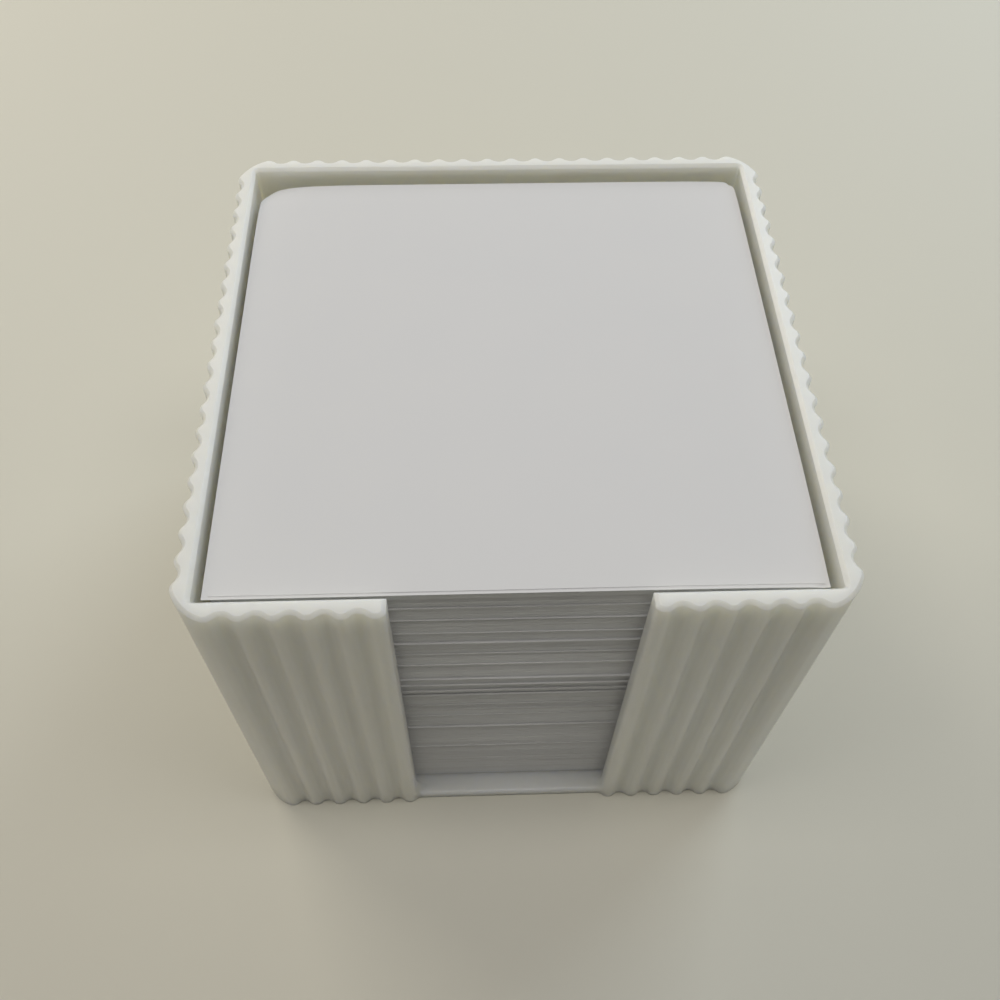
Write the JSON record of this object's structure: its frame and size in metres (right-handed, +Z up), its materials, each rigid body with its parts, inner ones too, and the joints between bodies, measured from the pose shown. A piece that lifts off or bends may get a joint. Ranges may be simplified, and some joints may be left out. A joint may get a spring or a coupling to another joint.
{
  "type": "note holder",
  "caption": "Open cube-shaped desk holder with wave-ribbed walls and a tall slot in the front, full of loose square paper notes that lift out.",
  "frame": {"origin": "middle of the flat base, on the surface that it stands on", "axes": "+Z up out of the open top, -Y out of the slotted front, +X to the right seen from the front"},
  "size_m": [0.1004, 0.1004, 0.083],
  "materials": {
    "holder_plastic": "waxy matte white",
    "note_paper": "plain uncoated white paper"
  },
  "bodies": {
    "holder": {"holder": "holder_plastic"},
    "lower_notes": {"note_pack_01": "note_paper", "note_pack_02": "note_paper", "proud_note_01": "note_paper", "proud_note_02": "note_paper"},
    "middle_notes": {"note_pack_03": "note_paper", "note_pack_04": "note_paper", "note_pack_05": "note_paper", "note_pack_06": "note_paper", "note_pack_07": "note_paper", "note_pack_08": "note_paper", "note_pack_09": "note_paper", "note_pack_10": "note_paper", "proud_note_03": "note_paper", "proud_note_04": "note_paper", "proud_note_05": "note_paper", "proud_note_06": "note_paper", "proud_note_07": "note_paper", "proud_note_08": "note_paper", "proud_note_09": "note_paper", "proud_note_10": "note_paper"},
    "upper_notes": {"note_pack_11": "note_paper", "note_pack_12": "note_paper", "note_pack_13": "note_paper", "note_pack_14": "note_paper", "note_pack_15": "note_paper", "note_pack_16": "note_paper", "proud_note_11": "note_paper", "proud_note_12": "note_paper", "proud_note_13": "note_paper", "proud_note_14": "note_paper", "proud_note_15": "note_paper"},
    "third_note": {"third_note": "note_paper"},
    "second_note": {"second_note": "note_paper"},
    "top_note": {"top_note": "note_paper"}
  },
  "joints": [
    {"name": "stack_lift", "type": "slide", "parent": "holder", "child": "lower_notes", "axis": [0, 0, 1], "range_m": [0, 0.085]},
    {"name": "middle_lift", "type": "slide", "parent": "lower_notes", "child": "middle_notes", "axis": [0, 0, 1], "range_m": [0, 0.06]},
    {"name": "upper_lift", "type": "slide", "parent": "middle_notes", "child": "upper_notes", "axis": [0, 0, 1], "range_m": [0, 0.035]},
    {"name": "third_lift", "type": "slide", "parent": "upper_notes", "child": "third_note", "axis": [0, 0, 1], "range_m": [0, 0.02]},
    {"name": "second_lift", "type": "slide", "parent": "third_note", "child": "second_note", "axis": [0, 0, 1], "range_m": [0, 0.02]},
    {"name": "top_lift", "type": "slide", "parent": "second_note", "child": "top_note", "axis": [0, 0, 1], "range_m": [0, 0.02]}
  ]
}
